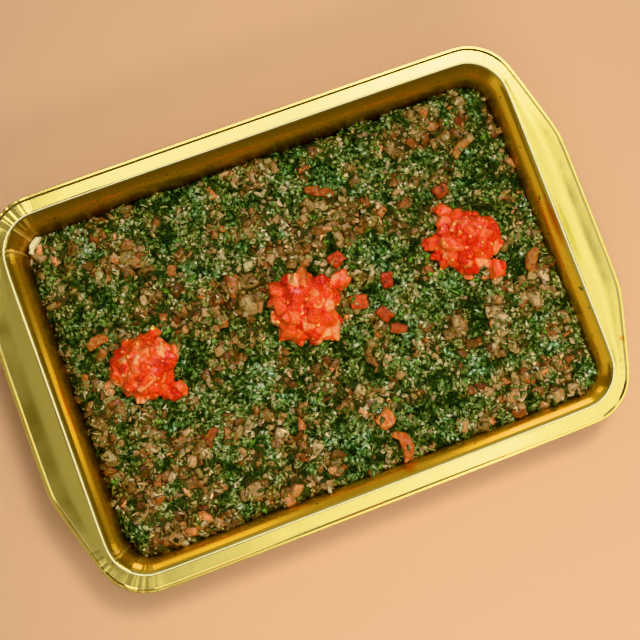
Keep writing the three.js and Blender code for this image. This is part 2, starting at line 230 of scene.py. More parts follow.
def addBump(height, depth, shader):
    # depth is the real height of the relief in metres.
    node = addNode(shader.id_data, "ShaderNodeBump")
    setInputs(node, Height=height, Strength=1.0, Distance=depth)
    setInputs(shader, Normal=node.outputs["Normal"])


def makePieceToneGroup():
    # Tone is each loose piece's own shade plus mottling inside it, and Hue its own cast. Wet is where it
    # glistens. Relief is its skin.
    group = bpy.data.node_groups.new("pieceTone", "ShaderNodeTree")
    for name in ("Mottle Size", "Mottle"):
        group.interface.new_socket(name=name, in_out="INPUT", socket_type="NodeSocketFloat")
    for name in ("Tone", "Hue", "Wet", "Relief"):
        group.interface.new_socket(name=name, in_out="OUTPUT", socket_type="NodeSocketFloat")
    given, result = group.nodes.new("NodeGroupInput"), group.nodes.new("NodeGroupOutput")
    tint = addNode(group, "ShaderNodeAttribute", attribute_name="tint").outputs["Fac"]
    hue = addNode(group, "ShaderNodeAttribute", attribute_name="hue").outputs["Fac"]
    place = addNode(group, "ShaderNodeTexCoord").outputs["Object"]
    noise = addNode(group, "ShaderNodeTexNoise")
    setInputs(noise, Vector=place, Scale=addMath("DIVIDE", 1.0, given.outputs["Mottle Size"]), Detail=2.0)
    noise = noise.outputs["Fac"]
    swing = product(addMath("SUBTRACT", noise, 0.5), given.outputs["Mottle"])
    setInputs(result, Tone=total(tint, swing), Hue=hue, Wet=addNoise(place, 6 * mm), Relief=noise)
    return group


pieceToneGroup = makePieceToneGroup()


def makeFoodMaterial(name, look):
    # A wet cut food: colours by each piece's tone, gloss that varies from drier to wetter, and fine relief.
    # Mottle gives a size and how strong it is, and juice how far light gets in and how deep.
    material, tree, shader = newMaterial(name)
    piece = addNode(tree, "ShaderNodeGroup", node_tree=pieceToneGroup)
    size, strength = look["mottle"]
    setInputs(piece, Mottle_Size=size, Mottle=strength)
    colour = addRamp(piece.outputs["Tone"], look["colours"])
    if "casts" in look:
        colour = multiplyColours(colour, addRamp(piece.outputs["Hue"], look["casts"]))
    dry, wet = look["roughness"]
    juice, depth = look.get("juice", (0.0, 1 * mm))
    addBump(piece.outputs["Relief"], look["relief"], shader)
    setInputs(shader, Base_Color=colour, Roughness=remap(piece.outputs["Wet"], 0.35, 0.65, wet, dry),
              Subsurface_Weight=juice, Subsurface_Radius=(1.0, 0.35, 0.15), Subsurface_Scale=depth,
              Coat_Weight=look.get("film", 0.0), Coat_Roughness=0.12)
    return material


# Loose pieces in numbers

def pointsOf(piece):
    points = np.empty(len(piece.data.vertices) * 3)
    piece.data.vertices.foreach_get("co", points)
    return points.reshape(-1, 3)


def shapeOf(piece):
    # The modelled piece as arrays of points and triangles. The piece itself is then removed.
    points = pointsOf(piece)
    piece.data.calc_loop_triangles()
    corners = np.empty(len(piece.data.loop_triangles) * 3, np.int32)
    piece.data.loop_triangles.foreach_get("vertices", corners)
    bpy.data.objects.remove(piece)
    return points, corners.reshape(-1, 3)


def framesAlong(axes, headings):
    # Turns for many pieces: each stands along its axis and heads as near its heading as it can.
    up = axes / np.linalg.norm(axes, axis=1, keepdims=True)
    side = np.cross(up, headings)
    side /= np.linalg.norm(side, axis=1, keepdims=True)
    return np.stack([np.cross(side, up), side, up], axis=2)


def headingsOf(yaws):
    return np.stack([np.cos(yaws), np.sin(yaws), np.zeros(len(yaws))], axis=1)


def randomTurns(axes, random):
    return framesAlong(axes, headingsOf(random.uniform(0, 2 * math.pi, len(axes))))


def paintPoints(piece, **tones):
    # Each tone is a value for all points or one for each.
    for name, values in tones.items():
        values = np.ascontiguousarray(np.broadcast_to(values, len(piece.data.vertices)), np.float32)
        piece.data.attributes.new(name, "FLOAT", "POINT").data.foreach_set("value", values)


# The inside of the tray's wall: heights and how far it lies outside the mouth's outline, all in mm.
wallProfile = {
    "height": (8, 34.57, 36.90, 39.09, 41.04, 42.69, 43.96, 44.8),
    "offset": (-4.19, -1.17, -0.66, 0.30, 1.67, 3.40, 5.42, 7.65),
    "half": (158.5, 108.8), "corner": 19, "cornerShrink": 0.4, "spare": 0.3,
}


def keepInside(points):
    # Draws back what would stick out through the tray's walls.
    look = wallProfile
    offset = np.interp(points[:, 2] / mm, look["height"], look["offset"])
    corner = look["corner"] + look["cornerShrink"] * np.minimum(offset, 0) + np.maximum(offset, 0)
    past = np.abs(points[:, :2]) / mm - (np.array(look["half"])[None, :] + (offset - corner)[:, None])
    past = np.maximum(past, 0)
    reach = np.maximum(np.hypot(past[:, 0], past[:, 1]), 0.001)
    excess = np.clip(1 - (corner + look["spare"]) / reach, 0, 1)
    points[:, :2] -= np.sign(points[:, :2]) * past * excess[:, None] * mm
    return points


def joinCopies(name, shapes, spots):
    # One mesh of many copies. spots holds each one's place, turn, size, tint, hue and kind, its shape.
    parts = []
    offset = 0
    for kind, (points, faces) in enumerate(shapes):
        mine = np.flatnonzero(spots["kind"] == kind)
        sized = points[None, :, :] * spots["size"][mine][:, None, :]
        placed = np.einsum("nij,npj->npi", spots["turn"][mine], sized) + spots["place"][mine][:, None, :]
        starts = offset + np.arange(len(mine)) * len(points)
        parts.append((placed.reshape(-1, 3), (faces[None, :, :] + starts[:, None, None]).reshape(-1, 3),
                      *(np.repeat(spots[tone][mine], len(points)) for tone in ("tint", "hue"))))
        offset += len(mine) * len(points)
    points, faces, tints, hues = (np.concatenate(part) for part in zip(*parts))
    mesh = bpy.data.meshes.new(name)
    mesh.from_pydata(keepInside(points).tolist(), [], faces.tolist(), shade_flat=False)
    piece = bpy.data.objects.new(name, mesh)
    scene.collection.objects.link(piece)
    paintPoints(piece, tint=tints, hue=hues)
    return piece


uprightness = np.array([0, 0, 0.6])  # how far a loose bit stands up on a slope


def patchNoise(x, y, size, seed):
    # Smooth noise from -1 to 1 over the bed, with patches about one size across.
    lattice = np.random.default_rng(seed).uniform(-1, 1, (256, 256))
    u, v = x / size + 100.0, y / size + 100.0
    i, j = np.floor(u).astype(int), np.floor(v).astype(int)
    a, b = u - i, v - j
    a, b = a * a * (3 - 2 * a), b * b * (3 - 2 * b)
    low = lattice[i % 256, j % 256] * (1 - a) + lattice[(i + 1) % 256, j % 256] * a
    high = lattice[i % 256, (j + 1) % 256] * (1 - a) + lattice[(i + 1) % 256, (j + 1) % 256] * a
    return low * (1 - b) + high * b


def surfaceOf(piece):
    return BVHTree.FromObject(piece, bpy.context.evaluated_depsgraph_get())


downwards = Vector((0, 0, -1))
dropHeight = 0.1  # where loose bits fall from
# The lowest that they land on each kind of surface.
landing = {"bed": 8 * mm, "loosePiece": 20 * mm, "wall": 32 * mm, "heap": 36 * mm}


def dropOn(surfaces, x, y, lowest):
    # Where points fall from above on the highest of some surfaces: which ones land over a height, where,
    # the surface's normals and the number of the surface that each landed on.
    landed, places, normals, numbers = [], [], [], []
    for index in range(len(x)):
        start = Vector((x[index], y[index], dropHeight))
        hits = [surface.ray_cast(start, downwards) for surface in surfaces]
        heights = [-1 if place is None else place.z for place, _, _, _ in hits]
        number = int(np.argmax(heights))
        if heights[number] > lowest:
            landed.append(index)
            places.append(hits[number][0])
            normals.append(hits[number][1])
            numbers.append(number)
    return np.array(landed, int), np.array(places), np.array(normals), np.array(numbers, int)


# The tray

trayLook = {
    "grooveDepth": 0.05 * mm,  # between the flange and the rolled edge
    "crispness": {"groove": 1.0, "lip": 1.0, "bead": 0.8},
    "gold": (0.90, 0.755, 0.225),
    # Inside, the gold deepens towards the food, partly with oil and juice and partly as a painted shade and a
    # painted reflection of the food: colours at heights in mm.
    "wallOilAndShade": [(26, (0.26, 0.095, 0.009)), (33, (0.49, 0.23, 0.019)), (38, (0.76, 0.37, 0.036)),
                   (43.9, (0.88, 0.53, 0.070))],
    "wallTop": (44.25, 43.9),  # the heights in mm between which the gold of the flange takes over
    "wallFilm": 0.2,  # how far the film on the lower walls hides the metal
    "runs": 0.9,  # how far runs of oil reach up the walls
    # Along the lip's edge a painted highlight: a pale, dull band for the light that the edge's small rounding
    # catches. The heights in mm where that starts and ends, and how far the surface leans in there.
    "edgeHighlightHeights": ((44.45, 44.6), (44.86, 44.82)), "edgeHighlightLean": (-18 * mm, -26 * mm),
    "edgeHighlightColour": (0.98, 0.90, 0.58), "edgeHighlightRoughness": 0.45, "highlightFilm": 0.7,
    "roughness": (0.13, 0.22),
    "wallRoughness": 0.16,  # how much duller the walls are
    "smudgeSize": 24 * mm,
    "streakWidth": 1.4 * mm,  # of the marks that drawing the sheet has left down the walls
    "streakHeight": 0.012,  # in mm
    "streakSquash": 0.06,  # their width over their length
    "foldCorner": (139 * mm, 90 * mm),  # where the corner's folds fan out from
    "foldFade": 6 * mm,  # how far from there they take to set in
    "foldAngle": 0.11,  # radians from one fold to the next
    "foldDrift": 15.0,  # how fast they wander on the way down
    "foldHeight": 0.3,  # in mm
    # A painted highlight where the folds catch the light: from which height of the folds to which, and how
    # much.
    "foldHighlightRange": (0.50, 0.70, 0.0, 0.75), "foldHighlightColour": (0.94, 0.64, 0.19),
    "foldElsewhere": 0.2,  # how strong they are away from the far left corner
    # Marks on the metal: middle and half size in mm, and what each does to the colour. The first is a painted
    # reflection of the right heap on the right wall's lip, the third a painted shade along the right wing's
    # inner edge, and the other two are juice stains.
    "juice": [((163.5, 2, 43.2), (5, 22, 2.0), (0.88, 0.42, 0.35)),
              ((175.8, -82.8, 45), (2.2, 2.8, 3), (0.95, 0.6, 0.3)),
              ((169, -8, 45), (3.2, 34, 2), (0.66, 0.68, 0.48)),
              ((22, -112.5, 41), (5, 7, 4), (0.9, 0.5, 0.4))],
}
flangeTop = 44.8 * mm


def addCornerFolds(split, look):
    # Folds that run down the corners, where drawing the sheet has gathered it, strongest in the far left.
    # Gives their height, and the painted highlight along them.
    along, across = (
        addMath("SUBTRACT", addMath("ABSOLUTE", split.outputs[axis], 0.0), start)
        for axis, start in zip("XY", look["foldCorner"])
    )
    fan = addNode(split.id_data, "ShaderNodeCombineXYZ")
    angle = addMath("DIVIDE", addMath("ARCTAN2", across, along), look["foldAngle"])
    setInputs(fan, X=angle, Z=product(split.outputs["Z"], look["foldDrift"]))
    folds = addNoise(fan.outputs["Vector"], 1.0, detail=1.0)
    inCorner = remap(addMath("MINIMUM", along, across), 0.0, look["foldFade"])
    sideways = addMath("SUBTRACT", split.outputs["Y"], split.outputs["X"])
    strength = product(inCorner, remap(sideways, -0.1, 0.1, look["foldElsewhere"], 1.0))
    foldHighlight = remap(folds, *look["foldHighlightRange"])
    return product(folds, strength), product(foldHighlight, addMath("POWER", strength, 3.0))


def addSpot(place, wobble, middle, half):
    # A mask that is 1 in an ellipsoid with an uneven edge, soft from half its size to a little over it.
    away = addNode(place.id_data, "ShaderNodeMapping", vector_type="TEXTURE")
    setInputs(away, Vector=place, Location=Vector(middle) * mm, Scale=Vector(half) * mm)
    reach = addVectorMath("DISTANCE", away.outputs["Vector"], (0, 0, 0), "Value")
    reach = total(reach, product(wobble, 0.4))
    return remap(reach, 1.2, 0.5, kind="SMOOTHSTEP")


def makeGoldMetal(look):
    material, tree, shader = newMaterial("goldMetal")
    place = addNode(tree, "ShaderNodeTexCoord").outputs["Object"]
    split = addNode(tree, "ShaderNodeSeparateXYZ")
    setInputs(split, Vector=place)
    level = split.outputs["Z"]
    stretched = addVectorMath("MULTIPLY", place, (1.0, 1.0, look["streakSquash"]))
    streaks = addNoise(stretched, look["streakWidth"], detail=3.0, roughness=0.6)
    smudges = addNoise(place, look["smudgeSize"], detail=4.0, roughness=0.6)
    normal = addNode(tree, "ShaderNodeNewGeometry").outputs["Normal"]
    flat = addVectorMath("MULTIPLY", place, (1.0, 1.0, 0.0))
    outwards = addVectorMath("DOT_PRODUCT", flat, normal, "Value")
    # What faces the middle of the tray is its inside.
    belowEdge = remap(level, *(height * mm for height in look["wallTop"]))
    inside = product(remap(outwards, 0.0, -4 * mm), belowEdge)
    # The painted highlight along the lip's edge: only the lip's edge leans in this far at this height.
    edgeHighlight = remap(outwards, *look["edgeHighlightLean"])
    for start, end in look["edgeHighlightHeights"]:
        edgeHighlight = product(edgeHighlight, remap(level, start * mm, end * mm))
    # Runs of oil carry the walls' darker colour, partly painted shade, unevenly up the walls, but not on to
    # the lip.
    lowest, highest = look["wallOilAndShade"][0][0], look["wallOilAndShade"][-1][0]
    height = remap(level, lowest * mm, highest * mm)
    belowLip = addMath("SUBTRACT", 1.0, addMath("POWER", height, 4.0))
    runs = product(addMath("SUBTRACT", streaks, 0.5), look["runs"], belowLip)
    stops = [((stop - lowest) / (highest - lowest), shade) for stop, shade in look["wallOilAndShade"]]
    # The walls darken towards the food: partly oil and juice, partly a painted shade and a painted reflection
    # of the food.
    colour = mixColours(inside, look["gold"], addRamp(total(height, runs), stops))
    # Juice stains, a painted reflection of the right heap on the right lip, and a painted shade along the
    # right wing's inner edge.
    for middle, half, cast in look["juice"]:
        markedColour = multiplyColours(colour, cast)
        colour = mixColours(addSpot(place, smudges, middle, half), colour, markedColour)
    folds, foldHighlight = addCornerFolds(split, look)
    foldHighlight = product(foldHighlight, inside)
    # Painted highlight: pale streaks along the corner folds.
    colour = mixColours(foldHighlight, colour, look["foldHighlightColour"])
    # Painted highlight: a pale band along the lip's edge.
    colour = mixColours(edgeHighlight, colour, look["edgeHighlightColour"])
    oily = product(inside, belowLip)
    dullness = total(remap(smudges, 0.3, 0.7, *look["roughness"]), product(oily, look["wallRoughness"]),
                     product(edgeHighlight, look["edgeHighlightRoughness"]))
    film = total(product(oily, look["wallFilm"]), product(total(edgeHighlight, foldHighlight), look["highlightFilm"]))
    setInputs(shader, Base_Color=colour, Roughness=dullness, Metallic=addMath("SUBTRACT", 1.0, film))
    relief = total(product(folds, look["foldHeight"]), product(streaks, look["streakHeight"]))
    addBump(relief, 1 * mm, shader)
    return material


def makeTray(look):
    tray = copyOfNode("tray", "trayShell")
    with editing(tray):
        bpy.ops.mesh.tris_convert_to_quads(face_threshold=math.radians(60),
                                           shape_threshold=math.radians(80))

    def rises(vertex):
        # How far the highest and the lowest neighbour lie over the vertex, in mm.
        steps = [(edge.other_vert(vertex).co.z - vertex.co.z) / mm for edge in vertex.link_edges]
        return max(steps), min(steps)

    def isFlange(vertex):
        return abs(vertex.co.z - flangeTop) < 0.02 * mm

    # The groove, the lip's edge and both edges of the pressed bead stay crisp.
    edges = {
        "groove": lambda vertex: isFlange(vertex) and rises(vertex)[0] > 0.4,
        "lip": lambda vertex: isFlange(vertex) and rises(vertex)[1] < -0.6,
        "bead": lambda vertex: vertex.co.z > flangeTop + 1.05 * mm and rises(vertex)[1] < -0.3,
    }
    for name, isWanted in edges.items():
        with editing(tray, isWanted):
            if name == "groove":
                bpy.ops.transform.translate(value=(0, 0, -look["grooveDepth"]))
            bpy.ops.transform.edge_crease(value=look["crispness"][name])
    addModifier(tray, "SUBSURF", levels=2, render_levels=2)
    applyModifiers(tray)
    bpy.ops.object.shade_smooth_by_angle(angle=math.radians(13))
    finishPiece(tray, makeGoldMetal(look), "tray")
    return tray


traySurface = surfaceOf(makeTray(trayLook))


# The bed of salad

# Larger tomato bits that stand out, as x, y, half length, half width in mm and tint.
notableBits = [
    (36, 11.3, 4, 3.2, 0.8), (-146.2, -43.7, 3.6, 3, 0.6), (146.6, -57.5, 5, 4, 0.6),
    (-36.2, 16.8, 7, 5, 0.75), (-41.2, 32.8, 7, 3, 0.5), (-31.2, 30.8, 6, 3, 0.55),
    (-39.1, 72.8, 4.5, 3.5, 0.75), (-102.8, 72.9, 4.5, 4, 0.7), (-93.9, 69.9, 4, 3, 0.65),
    (-108.8, 69.9, 4, 3, 0.35), (84, 82.5, 4, 3.5, 0.6), (104.8, 84.4, 4.5, 3, 0.6),
    (112.6, 75.4, 3.5, 3, 0.6), (119.5, 77.3, 3.5, 3, 0.55), (57.9, 40.6, 4, 3.5, 0.65),
    (47.1, 44.6, 3, 3, 0.15), (18.3, 41.7, 3.5, 3, 0.65), (10.4, 41.7, 3.5, 3, 0.6),
    (2.5, 42.7, 3.5, 3, 0.65), (30.3, 47.6, 4.5, 3, 0.5), (21.3, 47.7, 3.5, 2.8, 0.5),
    (83, -39.8, 5, 4.5, 0.5), (135, -40.7, 4.5, 3.5, 0.75), (107.6, -40.7, 5.5, 2.5, 0.8),
    (106.5, -49.6, 3, 3, 0.7), (-129.3, -70.4, 4.5, 3.5, 0.75), (-146.3, -18.9, 4.5, 3, 0.75),
    (-140.2, -61.5, 4.5, 3.5, 0.35), (-107.4, -96, 6, 5, 0.75), (-72.8, -90.1, 7, 4, 0.7),
    (-47.2, -99.9, 5, 3.5, 0.7), (-53.2, -102.2, 5, 3, 0.65), (-29.5, -102.2, 4, 3, 0.6),
    (-135.1, -100, 4, 3, 0.5), (-125.1, -101, 4, 3, 0.6), (-97.5, -102.2, 4, 3, 0.6),
    (62.9, -97.8, 4, 3.5, 0.7), (100.1, -92.9, 5.5, 4, 0.65), (126.5, -102.2, 4, 3.5, 0.7),
    (137.3, -102.2, 3.5, 3, 0.75), (101, -102.2, 3.5, 3, 0.7), (-147.9, 93.2, 4, 3, 0.65),
]


# The mix's patches as strength, size and seed, its level, and how brown it is round a larger bit and how
# many mm beyond it.
mixLook = {
    "patches": [(0.80, 9 * mm, 8), (0.36, 26 * mm, 9)], "level": -0.05, "roundBits": 0.7, "margin": 1.5,
}


def brownness(x, y):
    # Where the mix is brown with tomato and wheat, above 0, and where it is green with herbs, below 0.
    field = mixLook["level"]
    for strength, size, seed in mixLook["patches"]:
        field = field + strength * patchNoise(x, y, size, seed)
    for placeX, placeY, length, _, _ in notableBits:
        away = ((x / mm - placeX) ** 2 + (y / mm - placeY) ** 2) / (length + mixLook["margin"]) ** 2
        field = field + mixLook["roundBits"] * np.exp(-away / 2)
    return np.clip(field, -1, 1)


bedLook = {
    "voxel": 1.7 * mm,
    "clumps": (8 * mm, 2.2 * mm),  # size and height of the clumps of herbs
    "grain": (2.6 * mm, 0.9 * mm),
    "lowestRelief": 12 * mm,
    "cell": 1.5 * mm, "cellRelief": -0.5 * mm, "roughness": (0.5, 0.8),
    "shadeShare": 0.5, "brownShare": 0.6,  # of the tone, by cell and by where the mix is brown
    # Dark colours: the herbs' own tones darkened as a painted shade for the gaps between the strewn bits.
    "colours": [(0.00, (0.003, 0.006, 0.001)), (0.35, (0.008, 0.022, 0.003)), (0.60, (0.025, 0.055, 0.008)),
                (0.80, (0.060, 0.055, 0.012)), (1.00, (0.110, 0.060, 0.020))],
}


def makeBedMaterial(look):
    # Tightly packed chopped herbs: a tone for each cell of a Voronoi pattern, kept dark as a painted shade
    # for the gaps between the strewn bits.
    material, tree, shader = newMaterial("herbBedInPaintedShade")
    place = addNode(tree, "ShaderNodeTexCoord").outputs["Object"]
    cells = addNode(tree, "ShaderNodeTexVoronoi")
    setInputs(cells, Vector=place, Scale=1.0 / look["cell"], Randomness=1.0)
    shade = addNode(tree, "ShaderNodeSeparateColor")
    setInputs(shade, Color=cells.outputs["Color"])
    brown = addNode(tree, "ShaderNodeAttribute", attribute_name="hue").outputs["Fac"]
    tone = total(product(shade.outputs["Red"], look["shadeShare"]), product(brown, look["brownShare"]))
    gloss = remap(shade.outputs["Green"], 0.0, 1.0, *look["roughness"])
    setInputs(shader, Base_Color=addRamp(tone, look["colours"]), Roughness=gloss)
    addBump(cells.outputs["Distance"], look["cellRelief"], shader)
    return material


def makeBed(look):
    bed = copyOfNode("salad", "saladBed")
    addModifier(bed, "REMESH", mode="VOXEL", voxel_size=look["voxel"])
    applyModifiers(bed)
    markTop(bed, look["lowestRelief"])
    addModifier(bed, "SMOOTH", factor=0.5, iterations=3, vertex_group="top")
    for name in ("clumps", "grain"):
        addRelief(bed, name, *look[name], 0.55, vertex_group="top")
    applyModifiers(bed)
    bpy.ops.object.shade_smooth()
    points = keepInside(pointsOf(bed))
    bed.data.vertices.foreach_set("co", points.ravel().astype(np.float32))
    bed.data.update()
    paintPoints(bed, hue=np.clip(0.5 + brownness(points[:, 0], points[:, 1]), 0, 1))
    finishPiece(bed, makeBedMaterial(look), "salad")
    return bed


bedSurface = surfaceOf(makeBed(bedLook))


def surfacesOfNodes(*starts):
    return [surfaceOf(node) for name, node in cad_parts.items() if name.startswith(starts)]


heapSurfaces = surfacesOfNodes("tomato_heap")
looseSurfaces = surfacesOfNodes("tomato_dice", "tomato_strip")


def isUnder(surfaces, x, y, lowest):
    covered = np.zeros(len(x), bool)
    covered[dropOn(surfaces, x, y, lowest)[0]] = True
    return covered


def isUnderHeap(x, y):
    return isUnder(heapSurfaces, x, y, landing["heap"])


# Shapes of the loose bits, each about 2 across

def modelLeafBit(corners, seed):
    # A chopped bit of leaf: a thin cupped body with uneven lobes and one side curled up.
    bpy.ops.mesh.primitive_cone_add(vertices=corners, radius1=1.0, depth=0.3, end_fill_type="TRIFAN")
    bit = bpy.context.object

    def isNotch(vertex):
        step = math.atan2(vertex.co.x, vertex.co.y) / (2 * math.pi) * corners
        return math.hypot(vertex.co.x, vertex.co.y) > 0.9 and round(step) % 2 == 1

    def isHub(vertex):
        return math.hypot(vertex.co.x, vertex.co.y) < 0.1 and vertex.co.z < 0

    with editing(bit, isNotch):
        bpy.ops.transform.resize(value=(0.62, 0.62, 1), center_override=(0, 0, 0))
    with editing(bit, isHub):
        bpy.ops.transform.translate(value=(0, 0, 0.15))
    with editing(bit):
        bpy.ops.transform.vertex_random(offset=0.2, uniform=1.0, seed=seed)
    with editing(bit, lambda vertex: vertex.co.x > 0.4):
        bpy.ops.transform.translate(value=(-0.1, 0, 0.35))
    with editing(bit, lambda vertex: vertex.co.y < -0.6):
        bpy.ops.transform.translate(value=(0, 0, 0.2))
    with editing(bit):
        bpy.ops.mesh.normals_make_consistent(inside=False)
    return shapeOf(bit)


def modelStem():
    # A short length of stalk along X, bent, with cut ends.
    bpy.ops.mesh.primitive_cylinder_add(vertices=5, radius=0.5, depth=2.0, rotation=(0, math.pi / 2, 0))
    stem = bpy.context.object
    bpy.ops.object.transform_apply()
    with editing(stem):
        bpy.ops.mesh.bisect(plane_co=(0, 0, 0), plane_no=(1, 0, 0))
    with editing(stem, lambda vertex: abs(vertex.co.x) < 0.1):
        bpy.ops.transform.translate(value=(0, 0.35, 0))
        bpy.ops.transform.resize(value=(1, 0.8, 0.8))
    return shapeOf(stem)


def modelGrain(seed):
    # A cracked grain of wheat, an uneven ball.
    bpy.ops.mesh.primitive_ico_sphere_add(subdivisions=1, radius=1.0)
    grain = bpy.context.object
    with editing(grain):
        bpy.ops.transform.vertex_random(offset=0.22, uniform=1.0, seed=seed)
    return shapeOf(grain)


def modelCube(seed):
    # A knife-cut cube with softened edges.
    bpy.ops.mesh.primitive_cube_add(size=2.0)
    cube = bpy.context.object
    with editing(cube):
        bpy.ops.transform.vertex_random(offset=0.45, uniform=1.0, seed=seed)
        bpy.ops.mesh.bevel(offset=0.4, segments=1, affect="EDGES")
        bpy.ops.mesh.quads_convert_to_tris()
    return shapeOf(cube)


def modelPeel(seed):
    # A bit of tomato skin with flesh on it, curled up at both ends.
    bpy.ops.mesh.primitive_cube_add(size=2.0)
    peel = bpy.context.object
    with editing(peel):
        bpy.ops.transform.resize(value=(1, 1, 0.3))
        for cut in (-0.35, 0.35):
            bpy.ops.mesh.select_all(action="SELECT")
            bpy.ops.mesh.bisect(plane_co=(cut, 0, 0), plane_no=(1, 0, 0))
        bpy.ops.mesh.select_all(action="SELECT")
        bpy.ops.transform.vertex_random(offset=0.28, uniform=1.0, seed=seed)
    with editing(peel, lambda vertex: abs(vertex.co.x) > 0.7):
        bpy.ops.transform.translate(value=(0, 0, 0.6))
    return shapeOf(peel)


def modelChunk(seed):
    # A juicy diced piece of tomato with rounded edges and uneven faces.
    bpy.ops.mesh.primitive_cube_add(size=1.9)
    chunk = bpy.context.object
    with editing(chunk):
        bpy.ops.transform.vertex_random(offset=0.3, uniform=1.0, seed=seed)
        bpy.ops.mesh.bevel(offset=0.3, segments=1, affect="EDGES")
        bpy.ops.mesh.quads_convert_to_tris()
        bpy.ops.mesh.tris_convert_to_quads()
    addModifier(chunk, "SUBSURF", levels=1, render_levels=1)
    addRelief(chunk, "chunkRelief", 0.7, 0.35)
    applyModifiers(chunk)
    return shapeOf(chunk)


leafShapes = [modelLeafBit(corners, seed) for corners, seed in ((8, 1), (7, 7), (6, 3), (9, 12), (10, 4))]
stemShape = modelStem()
grainShapes = [modelGrain(seed) for seed in (2, 5)]
cubeShapes = [modelCube(seed) for seed in (1, 4, 9)]
peelShapes = [modelPeel(seed) for seed in (3, 8, 14)]
chunkShapes = [modelChunk(seed) for seed in (2, 6, 11, 15)]
print("modelled the loose bits")


# Looks of what is mixed into the salad

parsleyLook = {
    "mottle": (2.6 * mm, 0.2), "relief": 0.1 * mm, "roughness": (0.55, 0.28), "film": 0.18,
    "colours": [(0.0, (0.005, 0.013, 0.002)), (0.22, (0.050, 0.094, 0.016)), (0.45, (0.165, 0.243, 0.056)),
                (0.62, (0.280, 0.365, 0.097)), (0.8, (0.415, 0.478, 0.178)), (1.0, (0.620, 0.650, 0.350))],
    "casts": [(0.0, (0.80, 1.18, 0.38)), (0.1, (0.60, 0.98, 1.15)), (0.25, (0.82, 1.0, 1.2)),
              (0.5, (1.10, 1.0, 1.05)), (0.75, (1.45, 0.96, 0.95)), (1.0, (1.9, 0.96, 0.9))],
}
stemLook = {
    "mottle": (1.2 * mm, 0.3), "relief": 0.06 * mm, "roughness": (0.5, 0.25),
    "colours": [(0.0, (0.14, 0.16, 0.03)), (0.5, (0.27, 0.30, 0.07)), (1.0, (0.46, 0.46, 0.18))],
}
bulgurLook = {
    "mottle": (0.7 * mm, 0.5), "relief": 0.1 * mm, "roughness": (0.5, 0.22),
    "colours": [(0.0, (0.16, 0.11, 0.03)), (0.5, (0.30, 0.23, 0.08)), (1.0, (0.55, 0.46, 0.21))],
}
onionLook = {
    "mottle": (1.5 * mm, 0.6), "relief": 0.15 * mm, "roughness": (0.4, 0.18),
    "juice": (0.2, 1.5 * mm),
    "colours": [(0.0, (0.24, 0.14, 0.06)), (0.5, (0.38, 0.26, 0.12)), (1.0, (0.56, 0.46, 0.25))],
}
saladTomatoLook = {
    "mottle": (1.6 * mm, 0.9), "relief": 0.3 * mm, "roughness": (0.38, 0.15),
    "juice": (0.1, 1.2 * mm), "film": 0.2,
    "colours": [(0.0, (0.11, 0.040, 0.011)), (0.3, (0.235, 0.102, 0.033)), (0.55, (0.375, 0.202, 0.073)),
                (0.8, (0.53, 0.325, 0.148)), (1.0, (0.70, 0.490, 0.290))],
    "casts": [(0.0, (0.84, 1.10, 0.88)), (0.4, (0.95, 1.04, 0.97)), (0.75, (1.0, 1.0, 0.9)),
              (1.0, (1.3, 0.78, 0.55))],
}
parsley = makeFoodMaterial("parsley", parsleyLook)
parsleyStalk = makeFoodMaterial("parsleyStalk", stemLook)
bulgur = makeFoodMaterial("bulgur", bulgurLook)
choppedOnion = makeFoodMaterial("choppedOnion", onionLook)
mixedTomato = makeFoodMaterial("mixedTomato", saladTomatoLook)


def layBits(name, shapes, material, random, **spots):
    spots["tint"] = np.clip(spots["tint"], 0.02, 0.98)
    spots["kind"] = random.integers(0, len(shapes), len(spots["place"]))
    piece = joinCopies(name, shapes, spots)
    finishPiece(piece, material, "salad")
    return piece


# Tomato bits mixed into the salad

# The lift is a share of a bit's half thickness. Where it falls and its half size are in mm.
tomatoBitLook = {
    "count": 4100, "acrossX": (-158, 160), "acrossY": (-111, 110), "brownFrom": (0.15, 0.15),
    "halfSize": (1.2, 3.9), "slim": (0.45, 0.9), "flat": (0.54, 0.90), "notableFlat": 0.6,
    "lift": (-0.1, 0.6), "notableLift": -0.2, "tip": 0.42, "tint": (0.47, 0.23), "seed": 41,
}


def strewTomatoBits(look):
    random = np.random.default_rng(look["seed"])
    tries = int(look["count"] * few)
    x, y = (random.uniform(*look[limits], tries) * mm for limits in ("acrossX", "acrossY"))
    kept = (brownness(x, y) > random.normal(*look["brownFrom"], tries)) & ~isUnderHeap(x, y)
    kept &= ~isUnder(looseSurfaces, x, y, landing["loosePiece"])
    notable = np.array(notableBits)
    x, y = (np.concatenate([own * mm, others[kept]]) for own, others in zip(notable.T, (x, y)))
    landed, places, normals, _ = dropOn([bedSurface], x, y, landing["bed"])
    count, special = len(landed), int((landed < len(notable)).sum())
    least, most = look["halfSize"]
    length = (least + (most - least) * random.uniform(0, 1, count) ** 1.4) * mm
    width = length * random.uniform(*look["slim"], count)
    size = np.stack([length, width, width * random.uniform(*look["flat"], count)], axis=1)
    tint = random.normal(*look["tint"], count)
    size[:special, :2] = notable[landed[:special], 2:4] * mm
    size[:special, 2] = look["notableFlat"] * size[:special, 1]
    tint[:special] = notable[landed[:special], 4]
    lift = random.uniform(*look["lift"], count)
    lift[:special] = look["notableLift"]
    axes = normals + uprightness + random.normal(0, look["tip"], (count, 3))
    return layBits("tomatoBits", cubeShapes + peelShapes, mixedTomato, random,
                   place=places + normals * (size[:, 2] * lift)[:, None], turn=randomTurns(axes, random),
                   size=size, tint=tint, hue=random.uniform(0, 1, count))


saladSurfaces = [bedSurface, surfaceOf(strewTomatoBits(tomatoBitLook))] + looseSurfaces


# Herbs, grain and onion strewn over the bed

